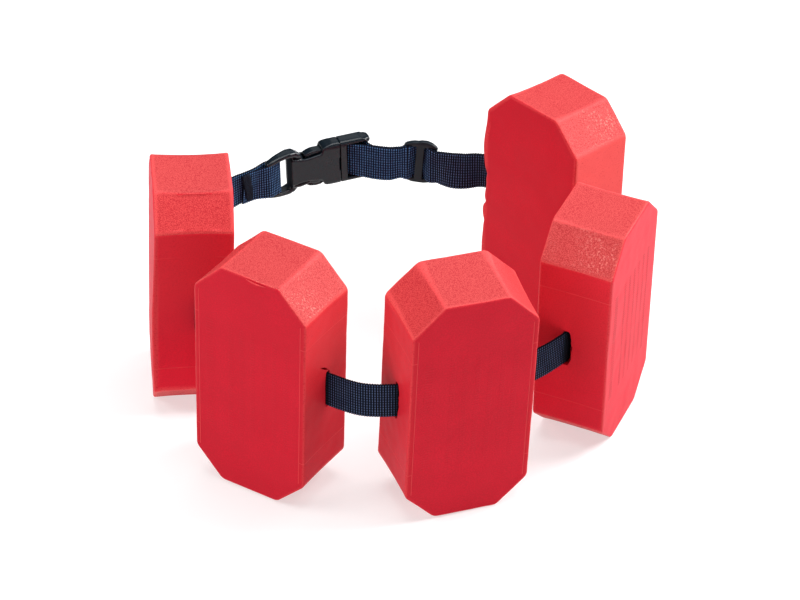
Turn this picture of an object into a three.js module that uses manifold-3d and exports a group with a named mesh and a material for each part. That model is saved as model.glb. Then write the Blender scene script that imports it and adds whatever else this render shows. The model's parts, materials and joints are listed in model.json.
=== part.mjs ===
// A child's swim belt: five octagonal foam floats on one strap, closed by a side-release buckle.
// Millimetres, +Z up. Seen along +Y the buckle is at the back and the left float is the first one.
import * as THREE from "three";
import { mergeVertices } from "three/addons/utils/BufferGeometryUtils.js";
import Module from "manifold-3d";

const wasm = await Module();
wasm.setup();

// Clearance between neighbours, the margin by which a cutter passes a face, steps of a rounding
const GAP = 0.3;
const PAST = 1;
const ROUND_STEPS = 4;

const FOAM = { color: 0xd8353f, roughness: 0.75 };
const WEBBING = { color: 0x232845, roughness: 0.85 };
const PLASTIC = { color: 0x2b2b2e, roughness: 0.4 };

// Foam float: an octagon standing on its end, with a slot for the strap
const BLOCK_HEIGHT = 160;
const BLOCK_WIDTH = 79;
const BLOCK_DEPTH = 47;
const CORNER_ACROSS = 19.2;
const CORNER_UP = 19.5;
const CORNER_ROUND = 2.5;
const BLOCK_EDGE = 1.5;
const SLOT_CLEARANCE = 0.8;

// Each float's middle in plan, its turn about the vertical, and its lean in degrees: lean_in tips
// the top toward the waist, lean_side to the right seen from outside. slot_in is how far the slot
// lies inward of the float's mid-thickness, and slot_turn how it is turned from the float's width.
const BLOCKS = [
  { x: -132.7, y: -84.7, turn: -83.4, lean_in: 2.7, lean_side: 1.5, slot_in: 2, slot_turn: 0 },
  { x: -78.5, y: -180, turn: -31.3, lean_in: 1.3, lean_side: 1.2, slot_in: 2.6, slot_turn: 0 },
  { x: 35.2, y: -198.8, turn: 18.9, lean_in: -1.5, lean_side: 1.8, slot_in: 1.5, slot_turn: 3.3 },
  { x: 121.1, y: -123.7, turn: 65.7, lean_in: -1.7, lean_side: -2.6, slot_in: 3.9, slot_turn: 0 },
  { x: 100.3, y: -1.5, turn: 132.2, lean_in: -1.8, lean_side: 0.4, slot_in: 2, slot_turn: 0 },
];

// Webbing strap, STRAP_DROP below the floats' middle
const STRAP_WIDTH = 24.5;
const STRAP_THICK = 1.5;
const STRAP_DROP = 1.2;
const STRAP_STEP = 5;
const LAYER = (STRAP_THICK + GAP) / 2;
const WEB_SLOT_HALF = STRAP_WIDTH / 2 + 0.8;

// Spots in plan where the strap runs free, with its lean back from the upright in degrees: the
// sewn fold, the way to the first float, the way from the last, and both sides of the slider
const SEWN_FOLD = [
  { x: -107.5, y: 12.8, lean: -8 },
  { x: -102.4, y: 17, lean: -8 },
  { x: -96.6, y: 22, lean: -6 },
];
const BEFORE_FLOATS = { x: -121, y: -2.5, lean: 0 };
const AFTER_FLOATS = { x: 55, y: 38.3, lean: 3 };
const LEFT_OF_SLIDER = [
  { x: -19.4, y: 50.4, lean: 6 },
  { x: -14, y: 49.4, lean: 5 },
  { x: -6.5, y: 48.9, lean: 3 },
];
const RIGHT_OF_SLIDER = [
  { x: 35, y: 40.3, lean: 12 },
  { x: 43.5, y: 39.1, lean: 11 },
];

// Where the buckle and the slider hang: middle, turn, lean back and roll to the right
const BUCKLE = { x: -56.8, y: 45.3, z: 79.5, turn: 21, lean: 1.5, roll: -0.4 };
const SLIDER = { x: 13, y: 49.4, z: 78.8, turn: -8, lean: -3, roll: 4.5 };

// Buckle, in its own frame: x along the strap from shell to prongs, y away from the wearer, z up
const BUCKLE_HALF_HEIGHT = 16;
const BUCKLE_THICK = 11.5;
const BUCKLE_ROUND = 3.5;
const BUCKLE_EDGE = 0.6;
const BUCKLE_SEAM = 16.3;
const SEAM_ROUND = 1.2;

// Shell half: its frame for the strap is bent toward the wearer at the hinge line
const FRAME_HINGE = -15;
const FRAME_TILT = 17;
const FRAME_THICK = 5.5;
const FRAME_EDGE = 1.5;
const FRAME_END = -36;
const FRAME_OUTLINE = [
  { x: FRAME_END, z: 12, r: 4 },
  { x: -21, z: 17.6, r: 8 },
  { x: -10.5, z: 8, r: 3 },
  { x: -5, z: 6, r: 2.2 },
];
const FRAME_SLOT = [
  { x: -29, z: WEB_SLOT_HALF, r: 0.8 },
  { x: -17.8, z: WEB_SLOT_HALF, r: 3.5 },
];
const FRAME_BAR_HALF = 2;
const SHELL_OUTLINE = [
  { x: -18.4, z: 10.4, r: 1.8 },
  { x: -9, z: 8.3, r: 4 },
  { x: 3.2, z: 10.2, r: 1.3 },
  { x: 4, z: 14.4, r: 2.7 },
  { x: BUCKLE_SEAM, z: BUCKLE_HALF_HEIGHT + PAST, r: SEAM_ROUND },
];
const CAVITY = { from: -11, half_height: 12.8, half_depth: 3.7 };
const MOUTH_NOTCH = { half_height: 5, depth: 0.8, cut: 1.5 };

// Prong half: a base with a slot and a bar for the strap, two sprung arms and a guide between them
const MALE_START = BUCKLE_SEAM + GAP;
const MALE_END = 36;
const MALE_OUTLINE = [
  { x: MALE_START, z: BUCKLE_HALF_HEIGHT + PAST, r: SEAM_ROUND },
  { x: MALE_END, z: 15.5, r: 5 },
];
const MALE_SLOT_START = 21;
const MALE_BAR = { from: 26.2, to: 31.5, half: 2.5 };
const PRONG_ROOT = MALE_START + 2;
const PRONG_OUTLINE = [
  { x: PRONG_ROOT, z: 12, r: 0.8 },
  { x: 4, z: 12, r: 1.5 },
  { x: -2.5, z: 13, r: 4 },
  { x: -8.5, z: 10.2, r: 1.2 },
  { x: -7.5, z: 8.2, r: 0.8 },
  { x: 0, z: 9.4, r: 2 },
  { x: 6, z: 8, r: 2 },
  { x: PRONG_ROOT, z: 7, r: 0.8 },
];
const PRONG_THICK = 6.6;
const PRONG_EDGE = 0.4;
const GUIDE_END = -6;

// The strap lies loose on the prong half's bar: where it starts round it, and where it leaves it
const MALE_LOOP_FROM = 248;
const MALE_LOOP_EXIT = [
  { past: 2.6, y: 1.8 },
  { past: 3.5, y: -3 },
];

// Slider: two arched rails, two end bars set outward and a centre bar set toward the wearer
const SLIDER_HALF = 11.4;
const SLIDER_OUTLINE = [
  { x: -SLIDER_HALF, z: 13.3, r: 1.8 },
  { x: -6, z: 16.4, r: 4 },
  { x: 6, z: 16.4, r: 4 },
  { x: SLIDER_HALF, z: 13.3, r: 1.8 },
];
const SLIDER_RAIL_THICK = 4;
const SLIDER_EDGE = 0.8;
const CENTRE_BAR_HALF = 2.7;
const END_BAR_INNER = 8.7;
const CENTRE_BAR_BACK = 0.2;
const END_BAR_FRONT = -0.4;

const rad = THREE.MathUtils.degToRad;

function mesh(name, geometry, finish) {
  const made = new THREE.Mesh(geometry, new THREE.MeshStandardMaterial({ ...finish, metalness: 0 }));
  made.name = name;
  return made;
}

// A geometry with merged corners, as a solid that can be joined or cut
function solid(geometry) {
  const bare = geometry.clone();
  bare.deleteAttribute("normal");
  bare.deleteAttribute("uv");
  const merged = mergeVertices(bare, 1e-4);
  return new wasm.Manifold(new wasm.Mesh({
    numProp: 3,
    vertProperties: Float32Array.from(merged.attributes.position.array),
    triVerts: Uint32Array.from(merged.index.array),
  }));
}

function geometryOf(body) {
  const { vertProperties, triVerts } = body.getMesh();
  const geometry = new THREE.BufferGeometry();
  geometry.setAttribute("position", new THREE.BufferAttribute(vertProperties, 3));
  geometry.setIndex(new THREE.BufferAttribute(triVerts, 1));
  geometry.computeVertexNormals();
  return geometry;
}

// A range on the given side of zero, in rising order
function range(side, near, far) {
  return [side * near, side * far].sort((a, b) => a - b);
}

// A box given by its ranges, for cutting and for plain bars
function box(x, y, z) {
  const geometry = new THREE.BoxGeometry(x[1] - x[0], y[1] - y[0], z[1] - z[0]);
  geometry.translate((x[0] + x[1]) / 2, (y[0] + y[1]) / 2, (z[0] + z[1]) / 2);
  return solid(geometry);
}

// A closed outline through corners { x, z, r }, each rounded over r
function outline(corners) {
  const shape = new THREE.Shape();
  corners.forEach((corner, i) => {
    const here = new THREE.Vector2(corner.x, corner.z);
    const ends = [corners.at(i - 1), corners[(i + 1) % corners.length]].map((next) => {
      const way = new THREE.Vector2(next.x, next.z).sub(here).normalize();
      return way.multiplyScalar(corner.r).add(here);
    });
    if (i === 0) {
      shape.moveTo(ends[0].x, ends[0].y);
    } else {
      shape.lineTo(ends[0].x, ends[0].y);
    }
    shape.quadraticCurveTo(here.x, here.y, ends[1].x, ends[1].y);
  });
  shape.closePath();
  return shape;
}

function flipped(corners, side) {
  return corners.map(({ x, z, r }) => ({ x, z: side * z, r }));
}

// The outline whose upper half is given from left to right and mirrored below
function mirrored(upper) {
  return outline([...upper, ...flipped(upper, -1).reverse()]);
}

// A plate standing in X and Z, centred on y = 0, with its edges eased
function plate(shape, thickness, edge) {
  const geometry = new THREE.ExtrudeGeometry(shape, {
    depth: thickness - 2 * edge,
    curveSegments: ROUND_STEPS,
    bevelEnabled: edge > 0,
    bevelSize: edge,
    bevelThickness: edge,
    bevelOffset: -edge,
    bevelSegments: 2,
  });
  geometry.translate(0, 0, edge - thickness / 2);
  geometry.rotateX(Math.PI / 2);
  return solid(geometry);
}

// The strap's way through a float, in the float's own frame
function slotPlace(row) {
  const turned = new THREE.Matrix4().makeRotationZ(rad(row.slot_turn));
  return turned.setPosition(0, row.slot_in, -STRAP_DROP);
}

function foamGeometry(row) {
  const side = BLOCK_WIDTH / 2;
  const top = BLOCK_HEIGHT / 2;
  const octagon = mirrored([
    { x: -side, z: top - CORNER_UP, r: CORNER_ROUND },
    { x: -side + CORNER_ACROSS, z: top, r: CORNER_ROUND },
    { x: side - CORNER_ACROSS, z: top, r: CORNER_ROUND },
    { x: side, z: top - CORNER_UP, r: CORNER_ROUND },
  ]);
  const slot = new THREE.BoxGeometry(
    BLOCK_WIDTH + 2 * PAST,
    STRAP_THICK + 2 * SLOT_CLEARANCE,
    STRAP_WIDTH + 2 * SLOT_CLEARANCE,
  );
  slot.applyMatrix4(slotPlace(row));
  return geometryOf(plate(octagon, BLOCK_DEPTH, BLOCK_EDGE).subtract(solid(slot)));
}

// A float in its place, lifted until its lowest corner touches the ground
function foamBlock(row, i) {
  const made = mesh(`foam_block_${i + 1}`, foamGeometry(row), FOAM);
  made.rotation.set(-rad(row.lean_in), rad(row.lean_side), rad(row.turn), "ZYX");
  made.position.set(row.x, row.y, 0);
  made.position.z = -new THREE.Box3().setFromObject(made, true).min.z;
  made.updateMatrixWorld();
  return made;
}

// A bar of the buckle's rounded section, for trimming plates to it
function buckleSection() {
  const half = BUCKLE_THICK / 2;
  const section = mirrored([
    { x: -half, z: BUCKLE_HALF_HEIGHT, r: BUCKLE_ROUND },
    { x: half, z: BUCKLE_HALF_HEIGHT, r: BUCKLE_ROUND },
  ]);
  const length = 2 * (MALE_END + PAST);
  const geometry = new THREE.ExtrudeGeometry(section, {
    depth: length,
    curveSegments: ROUND_STEPS,
    bevelEnabled: false,
  });
  geometry.translate(0, 0, -length / 2);
  const across = new THREE.Vector3(0, 1, 0);
  const up = new THREE.Vector3(0, 0, 1);
  const along = new THREE.Vector3(1, 0, 0);
  geometry.applyMatrix4(new THREE.Matrix4().makeBasis(across, up, along));
  return solid(geometry);
}

// The shell frame's own place in the buckle: bent about the hinge line
function framePlace() {
  const hinge = new THREE.Matrix4().makeTranslation(FRAME_HINGE, 0, 0);
  const back = new THREE.Matrix4().makeTranslation(-FRAME_HINGE, 0, 0);
  return hinge.multiply(new THREE.Matrix4().makeRotationZ(rad(FRAME_TILT))).multiply(back);
}

// Shell half: a round-ended frame for the strap and a flat hollow shell with side windows
function buckleFemale() {
  const webHeight = [-WEB_SLOT_HALF, WEB_SLOT_HALF];
  let frame = plate(mirrored(FRAME_OUTLINE), FRAME_THICK, FRAME_EDGE);
  frame = frame.subtract(plate(mirrored(FRAME_SLOT), 2 * FRAME_THICK, 0));
  for (const side of [-1, 1]) {
    const beside = range(side, FRAME_BAR_HALF, FRAME_THICK);
    frame = frame.subtract(box([FRAME_END - PAST, FRAME_SLOT[0].x + PAST], beside, webHeight));
  }
  const cavity = box(
    [CAVITY.from, BUCKLE_SEAM + PAST],
    [-CAVITY.half_depth, CAVITY.half_depth],
    [-CAVITY.half_height, CAVITY.half_height],
  );
  const shell = plate(mirrored(SHELL_OUTLINE), BUCKLE_THICK, BUCKLE_EDGE).intersect(buckleSection());
  let body = shell.add(frame.transform(framePlace().toArray())).subtract(cavity);
  for (const side of [-1, 1]) {
    body = body.subtract(box(
      [BUCKLE_SEAM - MOUTH_NOTCH.depth, BUCKLE_SEAM + PAST],
      range(side, BUCKLE_THICK / 2 - MOUTH_NOTCH.cut, BUCKLE_THICK),
      [-MOUTH_NOTCH.half_height, MOUTH_NOTCH.half_height],
    ));
  }
  return geometryOf(body);
}

function buckleMale() {
  const webHeight = [-WEB_SLOT_HALF, WEB_SLOT_HALF];
  const through = [-BUCKLE_THICK, BUCKLE_THICK];
  const base = plate(mirrored(MALE_OUTLINE), BUCKLE_THICK, BUCKLE_EDGE);
  let body = base.intersect(buckleSection());
  body = body.subtract(box([MALE_SLOT_START, MALE_BAR.from], through, webHeight));
  body = body.subtract(box([MALE_BAR.to, MALE_END + PAST], through, webHeight));
  for (const side of [-1, 1]) {
    const beside = range(side, MALE_BAR.half, BUCKLE_THICK);
    body = body.subtract(box([MALE_BAR.from - PAST, MALE_BAR.to + PAST], beside, webHeight));
    body = body.add(plate(outline(flipped(PRONG_OUTLINE, side)), PRONG_THICK, PRONG_EDGE));
  }
  const guide = [-PRONG_THICK / 2, PRONG_THICK / 2];
  return geometryOf(body.add(box([GUIDE_END, PRONG_ROOT], guide, guide)));
}

function sliderGeometry() {
  const webHeight = [-WEB_SLOT_HALF, WEB_SLOT_HALF];
  const face = SLIDER_RAIL_THICK / 2 + PAST;
  const middle = [-CENTRE_BAR_HALF - PAST, CENTRE_BAR_HALF + PAST];
  let body = plate(mirrored(SLIDER_OUTLINE), SLIDER_RAIL_THICK, SLIDER_EDGE);
  body = body.subtract(box(middle, [CENTRE_BAR_BACK, face], webHeight));
  for (const side of [-1, 1]) {
    body = body.subtract(box(range(side, CENTRE_BAR_HALF, END_BAR_INNER), [-face, face], webHeight));
    const endBar = range(side, END_BAR_INNER - PAST, SLIDER_HALF + PAST);
    body = body.subtract(box(endBar, [-face, END_BAR_FRONT], webHeight));
  }
  return geometryOf(body);
}

// A piece of the fastening, hung in its place
function hang(name, geometry, place) {
  const made = mesh(name, geometry, PLASTIC);
  made.position.set(place.x, place.y, place.z);
  made.rotation.set(-rad(place.lean), rad(place.roll), rad(place.turn), "ZYX");
  made.updateMatrixWorld();
  return made;
}

// A station of the strap: its middle and its upward direction, from a spot in a place's own frame
function station(place, x, y) {
  const up = new THREE.Vector3(0, 0, 1).transformDirection(place);
  return { at: new THREE.Vector3(x, y, 0).applyMatrix4(place), up };
}

// A station at a spot in plan, at the slider's height
function loose({ x, y, lean }) {
  const up = new THREE.Vector3(0, Math.sin(rad(lean)), Math.cos(rad(lean)));
  return { at: new THREE.Vector3(x, y, SLIDER.z), up };
}

// Stations moved sideways, to the right of the way that they run
function shifted(stations, distance) {
  return stations.map(({ at, up }, i) => {
    const before = stations[Math.max(i - 1, 0)].at;
    const after = stations[Math.min(i + 1, stations.length - 1)].at;
    const aside = after.clone().sub(before).cross(up).normalize();
    return { at: at.clone().addScaledVector(aside, distance), up };
  });
}

function arc(place, x, y, radius, from, to, steps) {
  return Array.from({ length: steps + 1 }, (_, i) => {
    const angle = from + ((to - from) * i) / steps;
    return station(place, x + radius * Math.cos(angle), y + radius * Math.sin(angle));
  });
}

// The stations through one float: straight along its slot
function floatRun(block, row) {
  const place = block.matrixWorld.clone().multiply(slotPlace(row));
  return [-1, -0.9, 0, 0.9, 1].map((side) => station(place, (side * BLOCK_WIDTH) / 2, 0));
}

// The middle of the even bow that the strap makes from one float's run to the next one's
function bow(run, next) {
  const [a, b] = run.slice(-2).map(({ at }) => at);
  const [c, d] = next.slice(0, 2).map(({ at }) => at);
  const out = b.clone().sub(a).normalize();
  const onward = d.clone().sub(c).normalize();
  const at = b.clone().add(c).multiplyScalar(0.5);
  at.addScaledVector(out.sub(onward), b.distanceTo(c) / 8);
  return { at, up: run.at(-1).up.clone().add(next[0].up).normalize() };
}

// The way of the strap's two layers through the slider, from its left end to its right:
// over the end bar, round its inner edge, behind the centre bar, and the same mirrored
function weave(slider) {
  const radius = GAP + STRAP_THICK + GAP / 2;
  const run = END_BAR_INNER - CENTRE_BAR_HALF;
  const rise = CENTRE_BAR_BACK - END_BAR_FRONT;
  const dip = Math.atan2(rise, run) + Math.asin((2 * radius) / Math.hypot(run, rise));
  const front = -Math.PI / 2;
  const back = Math.PI / 2;
  return [
    station(slider, -SLIDER_HALF - PAST, END_BAR_FRONT - radius),
    ...arc(slider, -END_BAR_INNER, END_BAR_FRONT, radius, front, front + dip, ROUND_STEPS),
    ...arc(slider, -CENTRE_BAR_HALF, CENTRE_BAR_BACK, radius, back + dip, back, ROUND_STEPS),
    ...arc(slider, CENTRE_BAR_HALF, CENTRE_BAR_BACK, radius, back, back - dip, ROUND_STEPS),
    ...arc(slider, END_BAR_INNER, END_BAR_FRONT, radius, front - dip, front, ROUND_STEPS),
    station(slider, SLIDER_HALF + PAST, END_BAR_FRONT - radius),
  ];
}

// The strap's tight way round the shell frame's bar, on the wearer's side first
function frameLoop(place) {
  const radius = FRAME_BAR_HALF + GAP + STRAP_THICK / 2;
  const barEdge = FRAME_SLOT[0].x;
  const middle = (barEdge + FRAME_END) / 2;
  return [
    station(place, FRAME_END - PAST, -radius),
    station(place, middle, -radius),
    ...arc(place, barEdge, 0, radius, -Math.PI / 2, Math.PI / 2, 2 * ROUND_STEPS),
    station(place, middle, radius),
    station(place, FRAME_END - PAST, radius),
  ];
}

// The strap's loose way round the prong half's bar, from the wearer's side to the far side
function maleLoop(place) {
  const radius = MALE_BAR.half + GAP + STRAP_THICK / 2;
  return [
    ...arc(place, MALE_BAR.from, 0, radius, rad(MALE_LOOP_FROM), Math.PI / 2, 2 * ROUND_STEPS),
    station(place, MALE_BAR.to, radius),
    ...MALE_LOOP_EXIT.map(({ past, y }) => station(place, MALE_BAR.to + past, y)),
  ];
}

// The strap's stations, from its sewn end by the first float to its free end past the slider
function strapRoute(blocks, buckle, slider) {
  const frame = buckle.clone().multiply(framePlace());
  const sewn = SEWN_FOLD.map(loose);
  const runs = blocks.map((block, i) => floatRun(block, BLOCKS[i]));
  const floats = runs.flatMap((run, i) => (i === 0 ? run : [bow(runs[i - 1], run), ...run]));
  const doubled = [...LEFT_OF_SLIDER.map(loose), ...weave(slider), ...RIGHT_OF_SLIDER.map(loose)];
  return [
    ...shifted(sewn, LAYER),
    ...frameLoop(frame),
    ...shifted(sewn, -LAYER).reverse(),
    loose(BEFORE_FLOATS),
    ...floats,
    loose(AFTER_FLOATS),
    ...shifted(doubled, LAYER).reverse(),
    ...maleLoop(buckle),
    ...shifted(doubled, -LAYER),
  ];
}

// A flat strip swept through the stations, upright along each station's upward direction
function strapGeometry(stations) {
  const line = new THREE.CatmullRomCurve3(stations.map(({ at }) => at), false, "centripetal");
  const upward = new THREE.CatmullRomCurve3(stations.map(({ up }) => up), false, "catmullrom");
  const spans = stations.length - 1;
  const times = [0];
  for (let i = 0; i < spans; i += 1) {
    const steps = Math.ceil(stations[i].at.distanceTo(stations[i + 1].at) / STRAP_STEP);
    for (let k = 1; k <= steps; k += 1) {
      times.push((i + k / steps) / spans);
    }
  }
  const section = [[-1, -1], [1, -1], [1, 1], [-1, 1]];
  const positions = times.flatMap((time) => {
    const middle = line.getPoint(time);
    const along = line.getTangent(time);
    const up = upward.getPoint(time);
    up.addScaledVector(along, -up.dot(along)).setLength(STRAP_WIDTH / 2);
    const aside = new THREE.Vector3().crossVectors(along, up).setLength(STRAP_THICK / 2);
    return section.flatMap(([side, rise]) => {
      return middle.clone().addScaledVector(aside, side).addScaledVector(up, rise).toArray();
    });
  });
  const corners = section.length;
  const last = (times.length - 1) * corners;
  const faces = [0, 1, 2, 0, 2, 3, last, last + 2, last + 1, last, last + 3, last + 2];
  for (let i = 0; i < times.length - 1; i += 1) {
    for (let k = 0; k < corners; k += 1) {
      const a = i * corners + k;
      const b = i * corners + ((k + 1) % corners);
      faces.push(a, a + corners, b, b, a + corners, b + corners);
    }
  }
  const geometry = new THREE.BufferGeometry();
  geometry.setAttribute("position", new THREE.Float32BufferAttribute(positions, 3));
  geometry.setIndex(faces);
  geometry.computeVertexNormals();
  return geometry;
}

const blocks = BLOCKS.map(foamBlock);
const female = hang("buckle_female", buckleFemale(), BUCKLE);
const male = hang("buckle_male", buckleMale(), BUCKLE);
const slider = hang("strap_slider", sliderGeometry(), SLIDER);
const route = strapRoute(blocks, female.matrixWorld, slider.matrixWorld);
const strap = mesh("webbing_strap", strapGeometry(route), WEBBING);

const belt = new THREE.Group();
belt.add(...blocks, strap, female, male, slider);

// The origin is on the ground, under the middle of the belt
const bounds = new THREE.Box3().setFromObject(belt, true);
const middle = bounds.getCenter(new THREE.Vector3());
belt.position.set(-middle.x, -middle.y, -bounds.min.z);

export default belt;
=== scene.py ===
# The belt as it was packed, and how it is looked at: standing on a pale table, seen from in front
# and above through a long lens, under a wide soft light overhead, a strong one high at the right
# and weak ones all round.
import json
import math

import bmesh
import bpy
import numpy as np
from mathutils import Matrix, Vector, noise

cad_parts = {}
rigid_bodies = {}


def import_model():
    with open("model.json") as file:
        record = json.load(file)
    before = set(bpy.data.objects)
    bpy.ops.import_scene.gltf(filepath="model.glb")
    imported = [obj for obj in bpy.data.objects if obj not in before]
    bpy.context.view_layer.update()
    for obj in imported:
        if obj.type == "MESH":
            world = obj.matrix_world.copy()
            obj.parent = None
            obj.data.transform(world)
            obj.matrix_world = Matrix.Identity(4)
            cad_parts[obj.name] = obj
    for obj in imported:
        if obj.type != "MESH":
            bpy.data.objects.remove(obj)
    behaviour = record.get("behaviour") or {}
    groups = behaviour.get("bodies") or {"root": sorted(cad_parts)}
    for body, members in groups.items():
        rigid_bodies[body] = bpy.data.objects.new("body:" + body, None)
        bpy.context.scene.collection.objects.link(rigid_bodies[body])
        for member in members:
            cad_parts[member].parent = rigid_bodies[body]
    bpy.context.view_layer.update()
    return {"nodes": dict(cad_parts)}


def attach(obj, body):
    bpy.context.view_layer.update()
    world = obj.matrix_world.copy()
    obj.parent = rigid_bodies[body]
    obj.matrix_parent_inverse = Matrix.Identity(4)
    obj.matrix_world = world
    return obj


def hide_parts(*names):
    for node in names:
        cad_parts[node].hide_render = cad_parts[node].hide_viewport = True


MM = 0.001

for thing in list(bpy.data.objects):
    bpy.data.objects.remove(thing)

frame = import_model()
scene = bpy.context.scene
scene.view_settings.view_transform = "Standard"

CAMERA_AIM = Vector((2.312, 85.346, 0)) * MM
CAMERA_DISTANCE = 1961 * MM
CAMERA_RISE = math.radians(36.16)
CAMERA_LENS = 131.17
SENSOR_WIDTH = 36


def placed(name, data):
    """A new object with that data, in the scene."""
    made = bpy.data.objects.new(name, data)
    scene.collection.objects.link(made)
    return made


camera = placed("camera", bpy.data.cameras.new("camera"))
camera.data.lens = CAMERA_LENS
camera.data.sensor_width = SENSOR_WIDTH
camera_back = Vector((0, -math.cos(CAMERA_RISE), math.sin(CAMERA_RISE)))
camera.location = CAMERA_AIM + CAMERA_DISTANCE * camera_back
camera.rotation_euler = (math.pi / 2 - CAMERA_RISE, 0, 0)
scene.camera = camera

# Round lights, each with its place and width in metres and its power, all turned to the belt
LIGHT_AIM = Vector((0, 0, 0.08))
LIGHTS = {
    "overhead_light": ((0, 0.1, 2), 1.6, 29),
    "right_high_light": ((1.5, 0.3, 1.5), 1, 44),
    "right_back_light": ((1.7, 1.2, 0.6), 1, 18),
    "left_high_light": ((-1.5, -0.2, 1.3), 1, 14),
    "left_front_light": ((-1.4, -1.6, 0.8), 1, 10),
    "front_light": ((0, -2.2, 0.9), 1, 2),
    "right_front_light": ((1.3, -1.7, 0.8), 1, 2.5),
    "back_light": ((0, 2, 1.5), 1.2, 2),
}
ROOM_GLOW = 0.03

for name, (place, width, power) in LIGHTS.items():
    lamp = bpy.data.lights.new(name, "AREA")
    lamp.shape = "DISK"
    lamp.size = width
    lamp.energy = power
    light = placed(name, lamp)
    light.location = place
    light.rotation_euler = (LIGHT_AIM - Vector(place)).to_track_quat("-Z", "Y").to_euler()

world = bpy.data.worlds.new("studio")
world.use_nodes = True
world.node_tree.nodes["Background"].inputs["Color"].default_value = (1, 1, 1, 1)
world.node_tree.nodes["Background"].inputs["Strength"].default_value = ROOM_GLOW
scene.world = world


# Foam floats: five tall octagons of closed-cell foam, moulded in one skin and cut to height. The
# cut ends show their cells, the outer faces have a border between fine raised lines and rows of
# small raised dashes, and a flat slot runs through each from side to side for the strap.
FLOAT_HEIGHT = 160
FLOAT_WIDTH = 79
FLOAT_DEPTH = 47
CORNER_ACROSS = 19.2
CORNER_UP = 19.5
CORNER_RADIUS = 6
EDGE_RADIUS = 1.3
EDGE_STEPS = 4
ARC_STEPS = 5
FOAM_STEP = 1.6
SIDE = FLOAT_WIDTH / 2
TOP = FLOAT_HEIGHT / 2
FACE = FLOAT_DEPTH / 2

# Fine raised lines: one along each upright edge, one round each side below and above the corners
# Their pale colour is a painted highlight on their raised tops
LINE_FROM_EDGE = 3.5
LINE_UP = 42.5
LINE_HALF = 0.22
STRIP_END = 58

# Rows of raised dashes on the outer face: from the first one's middle, at even distances, and one
# broad row by the left edge
# Their darker colour is painted shade of their relief, stronger on some floats than on others
ROW_FIRST = -13.4
ROW_APART = 7.9
ROW_HALF = 1.5
ROW_END = 31
BROAD_ROW = -28.4
BROAD_ROW_HALF = 2.6
DASH_HEIGHT = 41
DASH_PITCH = 1.9

# The strap's slot, whose mouths widen over the last part of its length. The rings of its wall lie
# at these distances past the float's sides.
SLOT_HALF_HEIGHT = 13.05
SLOT_HALF_DEPTH = 1.55
SLOT_DROP = 1.2
SLOT_FLARE = 0.5
SLOT_CORNER = 1.2
SLOT_CORNER_STEPS = 4
SLOT_STEP = 1.5
SLOT_RINGS = (3, 0.3, -0.8, -2, -4, -8)
MOUTH_DEPTH = 8

# Points that the cuts leave closer together than this are joined
WELD_REACH = 0.03

# How far from an edge its pale rim begins to end and ends, and from what turn an edge is sharp.
# The pale rim is partly edge wear and partly a painted highlight on the rounded edges.
RIM_FROM = 0.4
RIM_TO = 1.7
SHARP_TURN = 50

# The foam's unevenness: how far it goes in and out, and over what lengths
BULGE = 0.3
BULGE_LENGTH = 26
RIPPLE = 0.12
RIPPLE_LENGTH = 8

# How a cut end is marked on its faces: the flat tops, the slanting cuts, and the ones that glint.
# Each has its own colour, partly the cut cells' own paler colour and partly painted light.
TOP_MARK = 0.55
SLANT_MARK = 0.88
GLINT_MARK = 1.0

SKIN_DARK = (0.550, 0.0019, 0.0170, 1)
SKIN_LIGHT = (0.735, 0.0035, 0.0255, 1)
TOP_LIGHT = (0.580, 0.075, 0.070, 1)
TOP_DARK = (0.415, 0.027, 0.033, 1)
SLANT_LIGHT = (0.690, 0.064, 0.064, 1)
SLANT_DARK = (0.505, 0.024, 0.031, 1)
# Palest copies for the slanting cuts that face the strong light: painted light
GLINT_LIGHT = (0.670, 0.088, 0.082, 1)
GLINT_DARK = (0.485, 0.034, 0.039, 1)
# Pale flecks on those slanting cuts: painted glints
SPARK_PINK = (0.86, 0.30, 0.25, 1)
# A paler red painted on the walls that face the strong light: painted light
WALL_LIGHT_RED = (0.77, 0.080, 0.076, 1)
# Painted shade in the hollows of the cut cells
PIT_SHADE_RED = (0.36, 0.007, 0.014, 1)
STRIP_RED = (0.56, 0.0022, 0.014, 1)
# The pale rim along the edges: partly edge wear, partly a painted highlight
RIM_WEAR_HIGHLIGHT_RED = (0.86, 0.095, 0.095, 1)
# Painted highlight on the fine raised lines
LINE_HIGHLIGHT_RED = (0.86, 0.080, 0.080, 1)
# Painted shade of the raised dashes
DASH_SHADE_RED = (0.40, 0.0030, 0.010, 1)
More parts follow.
